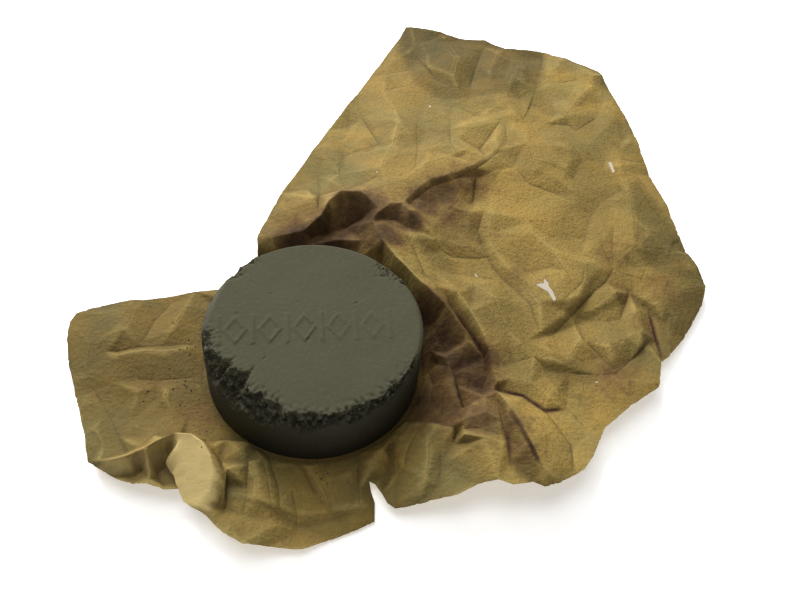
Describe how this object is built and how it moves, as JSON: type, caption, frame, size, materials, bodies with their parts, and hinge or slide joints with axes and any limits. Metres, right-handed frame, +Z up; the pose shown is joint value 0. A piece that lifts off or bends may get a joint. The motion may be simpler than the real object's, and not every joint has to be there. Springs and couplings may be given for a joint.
{
  "type": "polish cake in paper wrapper",
  "caption": "Round pressed cake of dry polish and cleaning compound on its opened, crumpled paper wrapper, whose flaps fold up around it.",
  "frame": {"origin": "on the surface the wrapper lies on, under the middle of the round cake", "axes": "+Z up along the cake's axis and the way it lifts, +Y away from the front flap, +X to the right"},
  "size_m": [0.1884, 0.2115, 0.0204],
  "materials": {
    "compound": "matte",
    "waxed_paper": "matte"
  },
  "bodies": {
    "wrapper": {"wrapper_base": "waxed_paper"},
    "cake": {"cake": "compound"},
    "left_flap": {"wrapper_left_flap": "waxed_paper"},
    "front_flap": {"wrapper_front_flap": "waxed_paper"},
    "back_flap": {"wrapper_back_flap": "waxed_paper"}
  },
  "joints": [
    {"name": "cake_lift", "type": "slide", "parent": "wrapper", "child": "cake", "axis": [0, 0, 1], "range_m": [0, 0.06]},
    {"name": "left_fold", "type": "hinge", "parent": "wrapper", "child": "left_flap", "pos_m": [-0.03653, 0.01047, 0.0022], "axis": [0.2756, 0.9613, 0], "range_deg": [0, 90]},
    {"name": "front_fold", "type": "hinge", "parent": "wrapper", "child": "front_flap", "pos_m": [0, -0.0375, 0.0022], "axis": [-1, 0, 0], "range_deg": [0, 85]},
    {"name": "back_fold", "type": "hinge", "parent": "wrapper", "child": "back_flap", "pos_m": [0.04101, 0.04101, 0.0102], "axis": [0.7071, -0.7071, 0], "range_deg": [0, 75]}
  ]
}
